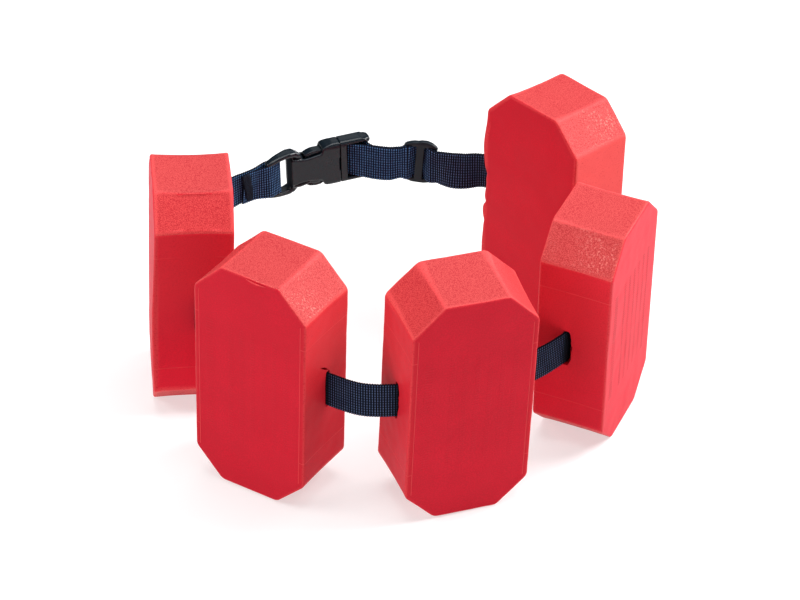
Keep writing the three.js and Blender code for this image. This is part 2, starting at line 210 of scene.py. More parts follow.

# What differs from float to float: how far inward the slot lies and how it is turned, how wide its
# left and right mouths gape on the outer side, how deep the walls are dished between the broad
# faces, by what share the inner face is wider and taller than the outer one, how many times as deep
# as the others it is, how far the foot stands out to the right, which upper slanting cut is painted
# with glints, how far the left and right walls are painted paler in their upper part as painted
# light, how much lighter or darker the skin is painted to even out the light and shade the float
# gets, how strong the dashes and their painted shade are, and the worn spots, each as its place,
# its reach and its push
FLOATS = {
    "foam_block_1": {
        "slot_in": 2.0, "slot_turn": 0.0, "gape": (0.9, 0), "dish": 1.3, "wider": (0, 0),
        "deeper": 1.04, "foot": 3, "glints": 0, "painted_wall_light": (0, 0.17), "painted_float_light": 0.45, "dashes": 0.3,
        "worn": [((39.5, -23.5, -12), 48, (0, -1.7, 0))],
    },
    "foam_block_2": {
        "slot_in": 2.6, "slot_turn": 0.0, "gape": (1.2, 0.6), "dish": 0.5, "wider": (0.008, 0.006),
        "deeper": 1, "foot": 0, "glints": 1, "painted_wall_light": (0, 0.3), "painted_float_light": -0.3, "dashes": 0.17,
        "worn": [((5, -23.5, 80), 5, (0, 0.3, -0.5)), ((20, -23.5, 79), 2.2, (0, 0.3, -0.7))],
    },
    "foam_block_3": {
        "slot_in": 1.5, "slot_turn": 3.3, "gape": (2.2, 1.0), "dish": 0.6, "wider": (0.05, 0.016),
        "deeper": 1, "foot": 0, "glints": 0, "painted_wall_light": (0.2, 0), "painted_float_light": -0.15, "dashes": 0.15,
        "worn": [],
    },
    "foam_block_4": {
        "slot_in": 3.9, "slot_turn": 0.0, "gape": (2.0, 1.2), "dish": 0.6, "wider": (0, 0.006),
        "deeper": 1, "foot": 0, "glints": -1, "painted_wall_light": (0.16, 0), "painted_float_light": 0.1, "dashes": 1,
        "worn": [],
    },
    "foam_block_5": {
        "slot_in": 2.0, "slot_turn": 0.0, "gape": (1.0, 1.4), "dish": 0.6, "wider": (0.036, 0.011),
        "deeper": 1, "foot": 0, "glints": -1, "painted_wall_light": (0.95, 0), "painted_float_light": -0.3, "dashes": 0.3,
        "worn": [
            ((39.5, 23.5, 34), 15, (2.6, 0, 0)),
            ((39.5, 23.5, 13), 3.0, (-1.8, 0, 0)),
            ((39.5, 23.5, 5), 7, (-1.3, 0, 0)),
            ((39.5, 23.5, -9), 2.2, (-1.8, 0, 0)),
            ((39.5, 23.5, -16), 6, (1.4, 0, 0)),
            ((39.5, 23.5, -24), 2.0, (-0.7, 0, 0)),
            ((39.5, 23.5, -44), 14, (0.9, 0, 0)),
        ],
    },
}

# From where to where up a wall its painted light grows
WALL_LIGHT_FROM = -45
WALL_LIGHT_TO = 30

# A short slit in the second float's right side, above the strap: its ends inward and up, and how
# wide and deep it is
SLIT_FLOAT = "foam_block_2"
SLIT_ENDS = ((4.4, 12.0), (-6.4, 19.8))
SLIT_WIDTH = 2.2
SLIT_DEPTH = 3

# A thin curl of skin below the same float's upper outer edge: its ends across and up
CURL_ENDS = ((-2.0, 78.7), (11.5, 78.1))
CURL_RADIUS = 0.5
CURL_STEPS = 18

# A direction that no thread follows, from which round sections are turned
THREAD_ASIDE = (0.31, 0.87, 0.39)


class Socket:
    """A node's output in a material. Arithmetic on it adds Math nodes."""

    def __init__(self, tree, out=None):
        self.tree = tree
        self.out = out

    def add(self, kind, settings=None, sockets=None, out=0):
        """A new node: its settings are set first, then its sockets' values or links."""
        node = self.tree.nodes.new(kind)
        for name, value in (settings or {}).items():
            setattr(node, name, value)
        for name, value in (sockets or {}).items():
            if isinstance(value, Socket):
                self.tree.links.new(value.out, node.inputs[name])
            else:
                node.inputs[name].default_value = value
        return Socket(self.tree, node.outputs[out] if node.outputs else None)

    def output(self, name):
        """Another output of the same node."""
        return Socket(self.tree, self.out.node.outputs[name])

    def maths(self, operation, *values):
        return self.add("ShaderNodeMath", {"operation": operation}, dict(enumerate(values)))

    def between(self, low, high):
        """0 below low, 1 above high, and a smooth rise from one to the other."""
        ends = {"Value": self, "From Min": low, "From Max": high}
        return self.add("ShaderNodeMapRange", {"interpolation_type": "SMOOTHSTEP"}, ends)

    def colours(self, first, second):
        """The colour that goes from first to second as this value goes from 0 to 1."""
        return self.add("ShaderNodeMix", {"data_type": "RGBA"}, {0: self, 6: first, 7: second}, 2)

    def __add__(self, other):
        return self.maths("ADD", self, other)

    def __sub__(self, other):
        return self.maths("SUBTRACT", self, other)

    def __rsub__(self, other):
        return self.maths("SUBTRACT", other, self)

    def __mul__(self, other):
        return self.maths("MULTIPLY", self, other)

    def __truediv__(self, other):
        return self.maths("DIVIDE", self, other)

    def __abs__(self):
        return self.maths("ABSOLUTE", self)

    __radd__ = __add__
    __rmul__ = __mul__


def new_finish(name):
    """A bare material, and a socket from which its nodes are added."""
    material = bpy.data.materials.new(name)
    material.use_nodes = True
    material.node_tree.nodes.clear()
    return material, Socket(material.node_tree)


def close_finish(nodes, **sockets):
    """The shader that the finish ends in."""
    shader = nodes.add("ShaderNodeBsdfPrincipled", None, sockets)
    nodes.add("ShaderNodeOutputMaterial", None, {"Surface": shader})


def painted(nodes, name, out="Fac"):
    """A value that the mesh carries on its points or faces."""
    return nodes.add("ShaderNodeAttribute", {"attribute_name": name}, None, out)


def speckle(nodes, place, scale, detail):
    """Soft noise all through the piece."""
    return nodes.add("ShaderNodeTexNoise", None, {"Vector": place, "Scale": scale, "Detail": detail})


def relief(nodes, height, strength, depth):
    """The surface's direction with low relief on it, its depth in millimetres."""
    values = {"Height": height, "Strength": strength, "Distance": depth * MM}
    return nodes.add("ShaderNodeBump", None, values)


def foam_finish():
    material, nodes = new_finish("red_foam")
    place = nodes.add("ShaderNodeTexCoord", None, None, "Object")
    ends = painted(nodes, "cut_end")
    pressed = painted(nodes, "dashes")
    painted_wall_light = painted(nodes, "painted_wall_light")
    slant = nodes.add("ShaderNodeLayerWeight", None, {"Blend": 0.5}, "Facing")
    rim = painted(nodes, "rim")
    painted_float_light = painted(nodes, "painted_float_light")
    cloud = speckle(nodes, place, 38, 4)
    grain = speckle(nodes, place, 1100, 2)
    cells = nodes.add("ShaderNodeTexVoronoi", None, {"Vector": place, "Scale": 1650})
    patch = speckle(nodes, place, 60, 2)
    pits = nodes.add("ShaderNodeTexVoronoi", None, {"Vector": place, "Scale": 190})
    across = nodes.add("ShaderNodeSeparateXYZ", None, {"Vector": place})
    outer = 1 - (across.output("Y") / MM).between(-FACE + 0.5, -FACE + 0.9)
    up = abs(across.output("Z") / MM)
    right = across / MM
    out = abs(right)

    # Border along the upright edges, with its fine lines and the ones that cross it
    within = outer * (1 - up.between(STRIP_END, STRIP_END + 1))
    edge_line = 1 - abs(out - (SIDE - LINE_FROM_EDGE)).between(LINE_HALF * 0.4, LINE_HALF * 1.6)
    strip = out.between(SIDE - LINE_FROM_EDGE, SIDE - LINE_FROM_EDGE + 0.4) * within
    cross_line = 1 - abs(up - LINE_UP).between(LINE_HALF * 0.3, LINE_HALF * 1.4)
    faint = patch.between(0.35, 0.6)
    side = out.between(SIDE - 1.2, SIDE - 0.8)
    lines = (edge_line * within).maths("MAXIMUM", edge_line * within, cross_line * strip)
    lines = lines.maths("MAXIMUM", lines, cross_line * side * (0.55 + 0.45 * faint))

    # Rows of dashes
    row = (right - ROW_FIRST) / ROW_APART + 0.5
    beside = abs(row.maths("FRACT", row) - 0.5) * ROW_APART
    rows = 1 - beside.between(ROW_HALF - 0.2, ROW_HALF + 0.2)
    rows = rows * right.between(ROW_FIRST - 2.4, ROW_FIRST - 2)
    rows = rows * (1 - right.between(ROW_END - 0.4, ROW_END))
    broad = 1 - abs(right - BROAD_ROW).between(BROAD_ROW_HALF - 0.2, BROAD_ROW_HALF + 0.2)
    beat = across.output("Z") * (math.tau / DASH_PITCH / MM)
    ticks = beat.maths("COSINE", beat).between(-0.3, 0.5) * (0.55 + 0.45 * faint)
    dashes = ticks * (rows + broad) * outer * (1 - up.between(DASH_HEIGHT - 0.5, DASH_HEIGHT + 0.5))

    # Painted glints: pale flecks on the slanting cuts, most of them toward the outer face
    near_face = 1 - (across.output("Y") / MM).between(-FACE * 0.75, FACE * 0.4)
    glints = speckle(nodes, place, 820, 1)
    spark = glints.between(0.52, 0.68) * ends.between(0.92, 0.98) * (0.25 + 0.75 * near_face)
    spark = spark * patch.between(0.36, 0.56)

    # Colours, from the skin and the cut ends to what lies on them
    # The skin, made lighter or darker per float as painted light and shade that evens out what each
    # float gets
    skin = (cloud.between(0.3, 0.7) * 0.25 + grain.between(0.25, 0.75) * 0.6 + painted_float_light).colours(
        SKIN_DARK, SKIN_LIGHT)
    walls = cells.between(0.2, 0.75)
    # The cut ends: partly the cut cells' own paler colour, partly painted light, palest on the slants
    # that glint
    slanting = ends.between(0.9, 0.98).colours(
        walls.colours(SLANT_LIGHT, SLANT_DARK), walls.colours(GLINT_LIGHT, GLINT_DARK))
    cut = ends.between(0.6, 0.8).colours(walls.colours(TOP_LIGHT, TOP_DARK), slanting)
    colour = ends.between(0, 0.5).colours(skin, cut)
    # Dark pits in the cut cells: painted shade in their hollows
    pit = (1 - pits.between(0.04, 0.10)) * ends
    for share, layer in (
        # Paler walls where they face the strong light: painted light
        (painted_wall_light * grain.between(0.1, 0.45), WALL_LIGHT_RED),
        # Painted shade in the cells' pits
        (pit * 0.7, PIT_SHADE_RED),
        # Painted glints on the slanting cuts
        (spark * 0.55, SPARK_PINK),
        (strip * 0.5, STRIP_RED),
        # Pale rim: partly edge wear, partly a painted highlight
        (rim * (0.32 + 0.3 * ends) * grain.between(0.25, 0.5), RIM_WEAR_HIGHLIGHT_RED),
        # Painted highlight on the fine raised lines
        (lines * 0.5, LINE_HIGHLIGHT_RED),
        # Painted shade of the raised dashes
        (dashes * pressed * 0.8, DASH_SHADE_RED),
    ):
        colour = share.colours(colour, layer)

    # Relief, and gloss where the skin is seen at a slant
    height = grain * (0.25 + 0.3 * ends) - cells * ends * 0.5 - pit * 0.6 + cloud * 0.2
    height = height + 0.6 * lines + 1.6 * dashes * pressed - 0.35 * strip
    gloss = slant.between(0.5, 0.8) * 0.18 * (1 - 0.85 * slant.between(0.75, 0.95))
    close_finish(nodes, **{
        "Base Color": colour,
        "Roughness": 0.5 + 0.14 * grain,
        "Specular IOR Level": 0.16,
        "Coat Weight": gloss * (1 - ends) * (1 - painted_wall_light) * (1 - dashes * pressed),
        "Coat Roughness": 0.45,
        "Normal": relief(nodes, height, 0.6, 0.4),
    })
    return material


def float_place(node):
    """The float's own axes and middle: across its width, inward to the waist, and up."""
    areas = {}
    for polygon in node.data.polygons:
        facing = tuple(round(part, 2) for part in polygon.normal)
        areas[facing] = areas.get(facing, 0) + polygon.area
    corners = np.array([vertex.co for vertex in node.data.vertices])
    middle = Vector((corners.min(0) + corners.max(0)) / 2)
    waist = Vector((-middle.x, -middle.y, 0))
    broad = max((f for f in areas if Vector(f).dot(waist) > 0), key=areas.get)
    crown = max((f for f in areas if f[2] > 0.9), key=areas.get)
    normals = [polygon.normal for polygon in node.data.polygons]

    def mean_of(facing):
        near = Vector(facing).normalized()
        return sum((normal for normal in normals if normal.dot(near) > 0.9995), Vector())

    inward = mean_of(broad).normalized()
    up = mean_of(crown)
    up = (up - inward * up.dot(inward)).normalized()
    across = inward.cross(up)
    axes = Matrix((across, inward, up))
    spread = corners @ np.array(axes.transposed())
    centre = axes.transposed() @ Vector((spread.min(0) + spread.max(0)) / 2)
    return Matrix.Translation(centre) @ axes.transposed().to_4x4()


def spaced(start, end, step, close_to=()):
    """Rising steps from start to end, with extra ones close to some of the values."""
    count = max(1, round((end - start) / step))
    values = {round(start + (end - start) * i / count, 4) for i in range(count + 1)}
    for value in close_to:
        for aside in (-0.9, -0.45, 0, 0.45, 0.9):
            if start < value + aside < end:
                values = {v for v in values if abs(v - value - aside) > 0.25 or v in (start, end)}
                values.add(round(value + aside, 4))
    return sorted(values)


def float_edges():
    """The float's outline less the edge rounding: its upper right side and half its top, as spots
    across and up with the direction in which each one faces."""
    slope = math.atan2(CORNER_ACROSS, CORNER_UP)
    inner = CORNER_RADIUS - EDGE_RADIUS
    low_turn = CORNER_RADIUS * math.tan(slope / 2)
    high_turn = CORNER_RADIUS * math.tan((math.pi / 2 - slope) / 2)
    low = (SIDE - CORNER_RADIUS, TOP - CORNER_UP - low_turn)
    high = (SIDE - CORNER_ACROSS - high_turn, TOP - CORNER_RADIUS)
    halfway = (slope + math.pi / 2) / 2

    def on_arc(centre, facing):
        return (centre[0] + inner * math.cos(facing), centre[1] + inner * math.sin(facing), facing)

    side = [(SIDE - EDGE_RADIUS, up, 0) for up in spaced(0, low[1], FOAM_STEP, (LINE_UP,))]
    side += [on_arc(low, slope * i / ARC_STEPS) for i in range(1, ARC_STEPS + 1)]
    begin = on_arc(low, slope)
    end = on_arc(high, slope)
    for share in spaced(0, 1, FOAM_STEP / math.dist(begin[:2], end[:2]))[1:]:
        x = begin[0] + (end[0] - begin[0]) * share
        side.append((x, begin[1] + (end[1] - begin[1]) * share, slope))
    half_steps = ARC_STEPS // 2
    shares = [i / half_steps for i in range(1, half_steps + 1)]
    side += [on_arc(high, slope + (halfway - slope) * share) for share in shares]
    arc = [on_arc(high, math.pi / 2 - (math.pi / 2 - halfway) * share) for share in shares]
    reach = SIDE - EDGE_RADIUS
    flat = [x / reach * arc[-1][0] for x in spaced(0, high[0] / arc[-1][0] * reach, FOAM_STEP)]
    top = [(x, TOP - EDGE_RADIUS, math.pi / 2) for x in flat] + arc
    return side, top


def float_grid():
    """Points and faces of a plain float: two broad faces of rows and columns, and between them a
    wall of loops whose first and last ones round the edges."""
    side, top = float_edges()
    rows = [(x, -z) for x, z, _ in side[:0:-1]] + [(x, z) for x, z, _ in side]
    columns = [(-x, z) for x, z, _ in top[:0:-1]] + [(x, z) for x, z, _ in top]
    corner = columns[-1]
    grid = [[(x / corner[0] * half, up * z / corner[1]) for x, z in columns] for half, up in rows]
    facing = [-turn for _, _, turn in side[:0:-1]] + [turn for _, _, turn in side]
    crown = [math.pi - turn for _, _, turn in top[:0:-1]] + [turn for _, _, turn in top]
    tall = len(rows)
    wide = len(columns)
    loop = [(r, wide - 1) for r in range(tall)] + [(tall - 1, c) for c in range(wide - 2, 0, -1)]
    loop += [(r, 0) for r in range(tall - 1, -1, -1)] + [(0, c) for c in range(1, wide - 1)]
    turns = facing + crown[wide - 2:0:-1] + [math.pi - turn for turn in facing[::-1]]
    turns += [-turn for turn in crown[1:wide - 1]]
    points = []
    for y in (-FACE, FACE):
        points += [(x, y, z) for line in grid for x, z in line]
    start = [r * wide + c for r, c in loop]
    loops = [start]
    depths = [(EDGE_RADIUS * math.sin(math.pi / 2 * i / EDGE_STEPS),
               -FACE + EDGE_RADIUS * (1 - math.cos(math.pi / 2 * i / EDGE_STEPS)))
              for i in range(1, EDGE_STEPS)]
    wall = [(EDGE_RADIUS, y) for y in spaced(-FACE + EDGE_RADIUS, FACE - EDGE_RADIUS, FOAM_STEP)]
    depths = depths + wall + [(out, -y) for out, y in depths[::-1]]
    for out, y in depths:
        loops.append(list(range(len(points), len(points) + len(loop))))
        for (r, c), turn in zip(loop, turns):
            x, z = grid[r][c]
            points.append((x + out * math.cos(turn), y, z + out * math.sin(turn)))
    loops.append([tall * wide + i for i in start])
    faces = []
    for base, order in ((0, 1), (tall * wide, -1)):
        for r in range(tall - 1):
            for c in range(wide - 1):
                a = base + r * wide + c
                faces.append((a, a + 1, a + wide + 1, a + wide)[::order])
    for near, far in zip(loops, loops[1:]):
        for i in range(len(loop)):
            k = (i + 1) % len(loop)
            faces.append((near[i], far[i], far[k], near[k]))
    return np.array(points), faces


def edge_distance(points):
    """How far each point is from the nearest edge: its distance from the second nearest face."""
    slope = math.atan2(CORNER_ACROSS, CORNER_UP)
    across = np.abs(points[:, 0])
    up = np.abs(points[:, 2])
    middle = (SIDE - CORNER_ACROSS / 2) * math.cos(slope) + (TOP - CORNER_UP / 2) * math.sin(slope)
    away = np.stack([
        FACE - np.abs(points[:, 1]),
        SIDE - across,
        TOP - up,
        middle - across * math.cos(slope) - up * math.sin(slope),
    ])
    return np.sort(away, axis=0)[1]


def bell(values, middle, spread):
    return np.exp(-((values - middle) / spread) ** 2)


def rise(values, low, high):
    share = np.clip((values - low) / (high - low), 0, 1)
    return share * share * (3 - 2 * share)


def waves(points, length, seed):
    """Soft noise of about that wavelength, one value to a point."""
    aside = Vector((seed * 13.7, seed * 5.1, seed * 9.3))
    return np.array([noise.noise(Vector(point) / length + aside) for point in points])


def mould_float(points, number, row):
    """The points with the foam's unevenness, its dished walls and its worn spots."""
    across, inward, up = points.T
    broad = np.abs(inward) > FACE - 0.01
    sides = ~broad & (np.abs(across) > SIDE - EDGE_RADIUS)
    crowns = ~broad & (np.abs(up) > TOP - EDGE_RADIUS)
    bulge = BULGE * waves(points, BULGE_LENGTH, number)
    bulge += RIPPLE * waves(points, RIPPLE_LENGTH, number + 7)
    dish = -row["dish"] * (1 - (inward / FACE) ** 2)
    slope = math.atan2(CORNER_ACROSS, CORNER_UP)
    moved = points.copy()
    moved[:, 1] += np.where(broad, np.sign(inward) * bulge, 0)
    out = np.where(sides, 1, np.where(crowns, 0, math.cos(slope)))
    rises = np.where(sides, 0, np.where(crowns, 1, math.sin(slope)))
    walls = np.where(broad, 0, bulge + dish)
    moved[:, 0] += np.sign(across) * out * walls
    moved[:, 2] += np.sign(up) * rises * walls
    inner = (inward + FACE) / FLOAT_DEPTH
    moved[:, 0] += across * inner * row["wider"][0]
    moved[:, 2] += np.maximum(up, 0) * inner * row["wider"][1]
    moved[:, 0] += np.maximum(-up, 0) / TOP * row["foot"]
    moved[:, 1] *= row["deeper"]
    for spot, reach, push in row["worn"]:
        away = np.linalg.norm(points - np.array(spot), axis=1)
        moved += bell(away, 0, reach)[:, None] * np.array(push)
    return moved


def ring_solid(name, rings):
    """A closed mesh through rings of points."""
    shape = bmesh.new()
    made = [[shape.verts.new(point) for point in ring] for ring in rings]
    for near, far in zip(made, made[1:]):
        for i in range(len(near)):
            k = (i + 1) % len(near)
            shape.faces.new((near[i], near[k], far[k], far[i]))
    shape.faces.new(made[0][::-1])
    shape.faces.new(made[-1])
    bmesh.ops.recalc_face_normals(shape, faces=shape.faces)
    mesh = bpy.data.meshes.new(name)
    shape.to_mesh(mesh)
    shape.free()
    return mesh


def slot_cutter(row, number):
    """The strap's slot as a solid: an upright flat hole with rounded corners, gaping at its mouths."""
    def rounded(side_y, side_z, start):
        turns = [math.radians(start + 90 * i / SLOT_CORNER_STEPS) for i in range(SLOT_CORNER_STEPS + 1)]
        middle_y = side_y * (SLOT_HALF_DEPTH - SLOT_CORNER)
        middle_z = side_z * (SLOT_HALF_HEIGHT - SLOT_CORNER)
        return [(middle_y + SLOT_CORNER * math.cos(turn), middle_z + SLOT_CORNER * math.sin(turn))
                for turn in turns]

    upright = spaced(-SLOT_HALF_HEIGHT + SLOT_CORNER, SLOT_HALF_HEIGHT - SLOT_CORNER, SLOT_STEP)
    section = [(SLOT_HALF_DEPTH, z) for z in upright[:-1]] + rounded(1, 1, 0) + rounded(-1, 1, 90)
    section += [(-SLOT_HALF_DEPTH, z) for z in upright[-2:0:-1]]
    section += rounded(-1, -1, 180) + rounded(1, -1, 270)[:-1]
    reaches = [SIDE + past for past in SLOT_RINGS]
    rings = []
    for x in [-reach for reach in reaches] + reaches[::-1]:
        open_by = float(rise(np.array(abs(x)), SIDE - MOUTH_DEPTH, SIDE)) ** 2
        gape = row["gape"][int(x > 0)]
        ring = []
        for y, z in section:
            ragged = 1 + 0.5 * noise.noise(Vector((x * 0.1, z * 0.45, number * 3.1)))
            bow = max(0, 1 - (z / SLOT_HALF_HEIGHT) ** 2)
            y += open_by * (SLOT_FLARE if y > 0 else -gape * (0.25 + bow) * ragged)
            z += open_by * SLOT_FLARE * 0.6 * math.copysign(1, z)
            ring.append((x, y, z))
        rings.append(ring)
    mesh = ring_solid("slot", rings)
    turned = Matrix.Rotation(math.radians(row["slot_turn"]), 4, "Z")
    mesh.transform(Matrix.Translation((0, row["slot_in"], -SLOT_DROP)) @ turned)
    return mesh


def slit_cutter():
    """The slit as a solid: a flat wedge with pointed ends."""
    begin, end = (Vector((0, *spot)) for spot in SLIT_ENDS)
    middle = (begin + end) / 2
    aside = Vector((1, 0, 0)).cross(end - begin).normalized() * SLIT_WIDTH / 2
    outline = [begin, middle + aside, end, middle - aside]
    rings = []
    for reach, share in ((SIDE - SLIT_DEPTH, 0.5), (SIDE + 1, 1.1)):
        out = Vector((reach, 0, 0))
        rings.append([middle + (spot - middle) * share + out for spot in outline])
    return ring_solid("slit", rings)


def unit_each(rows):
    """The same directions, each with a length of one."""
    return rows / np.linalg.norm(rows, axis=1)[:, None]


def ring_faces(rings, corners):
    """Faces of a closed tube of that many rings."""
    faces = []
    for i in range(rings - 1):
        near = i * corners
        far = near + corners
        for k in range(corners):
            n = (k + 1) % corners
            faces.append((near + k, near + n, far + n, far + k))
    faces.append(tuple(range(corners))[::-1])
    faces.append(tuple((rings - 1) * corners + k for k in range(corners)))
    return faces


def tube(points, radii, corners):
    """Points and faces of a round thread along the points, with a radius at each."""
    points = np.array(points)
    ways = unit_each(np.gradient(points, axis=0))
    sides = unit_each(np.cross(ways, THREAD_ASIDE))
    tops = unit_each(np.cross(ways, sides))
    made = []
    for i, point in enumerate(points):
        for k in range(corners):
            turn = math.tau * k / corners
            made.append(point + radii[i] * (math.cos(turn) * sides[i] + math.sin(turn) * tops[i]))
    return made, ring_faces(len(points), corners)


def add_curl(mesh):
    """Adds the curl of skin to the second float, and gives its first point's number."""
    ways = np.linspace(0, 1, CURL_STEPS)
    begin, end = (np.array(spot) for spot in CURL_ENDS)
    path = []
    for share in ways:
        x, z = begin + (end - begin) * share
        bow = math.sin(math.pi * share)
        path.append((x, -FACE - 0.25 - 0.35 * bow, z - 0.5 * bow))
    points, faces = tube(path, CURL_RADIUS * np.sin(math.pi * (0.04 + 0.92 * ways)) ** 0.6, 8)
    shape = bmesh.new()
    shape.from_mesh(mesh)
    first = len(shape.verts)
    corners = [shape.verts.new(point) for point in points]
    for face in faces:
        shape.faces.new([corners[i] for i in face])
    bmesh.ops.recalc_face_normals(shape, faces=shape.faces)
    shape.to_mesh(mesh)
    shape.free()
    return first


def applied(piece):
    """The piece's mesh with its modifiers applied."""
    bpy.context.view_layer.update()
    shown = piece.evaluated_get(bpy.context.evaluated_depsgraph_get())
    made = bpy.data.meshes.new_from_object(shown)
    piece.modifiers.clear()
    piece.data = made
    return made


def weld(mesh):
    """Joins points that the cuts left almost on one spot, and splits many-sided faces."""
    shape = bmesh.new()
    shape.from_mesh(mesh)
    bmesh.ops.remove_doubles(shape, verts=shape.verts, dist=WELD_REACH)
    bmesh.ops.dissolve_degenerate(shape, edges=shape.edges, dist=WELD_REACH)
    bmesh.ops.triangulate(shape, faces=[face for face in shape.faces if len(face.verts) > 4])
    shape.to_mesh(mesh)
    shape.free()


def paint(mesh, name, domain, values):
    """Puts one value on each of the mesh's points or faces, for its finish to read."""
    mesh.attributes.new(name, "FLOAT", domain).data.foreach_set("value", values)


plain_points, plain_faces = float_grid()
red_foam = foam_finish()

for number, (name, row) in enumerate(FLOATS.items(), 1):
    mesh = bpy.data.meshes.new(name + "_foam")
    mesh.from_pydata(mould_float(plain_points, number, row).tolist(), [], plain_faces)
    piece = placed(name + "_foam", mesh)
    cutters = [slot_cutter(row, number)] + ([slit_cutter()] if name == SLIT_FLOAT else [])
    for cutter_mesh in cutters:
        cutter = placed("cutter", cutter_mesh)
        cut = piece.modifiers.new("cut", "BOOLEAN")
        cut.object = cutter
        cut.solver = "MANIFOLD"
        mesh = applied(piece)
        bpy.data.objects.remove(cutter)
    weld(mesh)

    # Marks for the finish, told from where a point or face lies and which way it looks
    curl_from = add_curl(mesh) if name == SLIT_FLOAT else len(mesh.vertices)
    spots = np.array([vertex.co for vertex in mesh.vertices])
    # A pale rim along the edges, partly edge wear and partly a painted highlight; the curl is painted
    # pale all over, as a painted highlight
    worn = 1 - rise(edge_distance(spots), RIM_FROM, RIM_TO)
    worn[curl_from:] = 1
    paint(mesh, "rim", "POINT", worn)
    # How strong the dashes' relief and their painted shade are
    paint(mesh, "dashes", "POINT", np.full(len(spots), row["dashes"]))
    # Each float's skin made lighter or darker, as painted light and shade that evens out the light it
    # gets
    paint(mesh, "painted_float_light", "POINT", np.full(len(spots), row["painted_float_light"]))
    marks = []
    painted_wall_light = []
    for polygon in mesh.polygons:
        normal = polygon.normal
        middle = polygon.center
        on_end = abs(normal.z) > 0.35 and abs(normal.y) < 0.6 and abs(middle.z) > TOP - CORNER_UP - 2
        # The upper slanting cuts that face the strong light are marked for painted glints
        glints = middle.z * middle.x * row["glints"] > 0
        slanting = GLINT_MARK if glints else SLANT_MARK
        marks.append((TOP_MARK if abs(normal.z) > 0.92 else slanting) if on_end else 0.0)
        # Walls that face the strong light are painted paler in their upper part: painted light
        share = row["painted_wall_light"][int(middle.x > 0)] if abs(normal.x) > 0.8 else 0.0
        painted_wall_light.append(share * float(rise(np.array(middle.z), WALL_LIGHT_FROM, WALL_LIGHT_TO)))
    paint(mesh, "cut_end", "FACE", marks)
    paint(mesh, "painted_wall_light", "FACE", painted_wall_light)

    mesh.transform(Matrix.Scale(MM, 4))
    mesh.shade_smooth()
    mesh.set_sharp_from_angle(angle=math.radians(SHARP_TURN))
    mesh.materials.clear()
    mesh.materials.append(red_foam)
    piece.matrix_world = float_place(frame["nodes"][name])
    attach(piece, "root")
    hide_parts(name)


# Strap: one length of navy polypropylene webbing, woven warp over thick cross cords so that it
# shows close ribs. One end is folded round the shell half's bar and sewn down; the other runs
# through the floats, the slider and the prong half, and back through the slider.
STRAP_WIDTH = 25
STRAP_THICK = 1.4
RIB_PITCH = 1.62
RIB_STEPS = 4
RIB_HEIGHT = 0.2
RIB_SCALLOP = 0.35
HIDDEN_STEP = 2.5
HIDDEN_DEPTH = 6
RUN_STEP = 0.2
SAME_SPOT = 1e-6
STRAP_COLUMNS = 9
YARN_PITCH = 1.9
EDGE_FROM = 11.6
EDGE_TO = 12.4
MOUTH_SHADE = (-3, 1)

# The ribs: their crests painted light and the grooves between them near black, as painted light and
# shade
WEB_GROOVE_SHADE = (0.0003, 0.0006, 0.0020, 1)
WEB_GROOVE_SHADE_BLUER = (0.0012, 0.0036, 0.0115, 1)
WEB_CREST_LIGHT = (0.092, 0.142, 0.275, 1)
WEB_CREST_LIGHT_BLUER = (0.088, 0.218, 0.450, 1)
WEB_SHADE = (0.004, 0.009, 0.030, 1)
# Painted shade where the strap goes into a slot's mouth
WEB_MOUTH_SHADE = (0.0006, 0.0006, 0.0012, 1)
WEB_EDGE = (0.002, 0.002, 0.006, 1)

# The ends as they show: the sewn one comes to the bar tack, the free one lies behind the strap as
# far as the next float
SEWN_LENGTH = 30
SEWN_EASE = 10
SEWN_TRIM = 4
FLAP_LENGTH = 12
TAIL_GAP = 1.55
TAIL_PAST = 24

# How it hangs at the back, as places across with their spread and how far it is lifted there; how
# far the loop lies over on the shell half's bar; and how tight it is pulled between two floats
SAGS = ((-5, 14, -1.2), (38, 16, -1.1))
SEWN_LIFT = (-109, 14, 0.8)
FLAP_LIFT = 0.7
LOOP_SHIFT = (-76.5, 4, -1.3)
TIGHT_SPAN = (2, 3)
TIGHT_SHARE = 0.65
BACK_FROM = 85

# By the buckle it is lighter and bluer, which comes on toward the back and goes to the right
BLUER_START = (60, 100)
BLUER_END = (8, 34)

# Between the slider's bars the strap spreads a little and fills the slots
SLIDER_MIDDLE = (15.3, 134.7, 78.8)
SLIDER_REACH = 13
SLIDER_SPREAD = 1.3
SLIDER_LIFT = 0.4


def strap_rings(node):
    """The strap's middle and upward direction, ring by ring from its sewn end, read off its solid."""
    shape = bmesh.new()
    shape.from_mesh(node.data)
    bmesh.ops.remove_doubles(shape, verts=shape.verts, dist=SAME_SPOT)
    ends = [vertex for vertex in shape.verts if len(vertex.link_edges) < 6]
    ring = sorted(ends, key=lambda vertex: vertex.co.x)[:4]
    seen = set()
    middles = []
    ups = []
    while ring:
        seen.update(ring)
        by_height = sorted((vertex.co for vertex in ring), key=lambda spot: spot.z)
        middles.append(sum(by_height, Vector()) / 4)
        ups.append((by_height[2] + by_height[3] - by_height[0] - by_height[1]).normalized())
        ring = list({edge.other_vert(vertex) for vertex in ring for edge in vertex.link_edges} - seen)
    shape.free()
    return np.array(middles) / MM, np.array(ups)


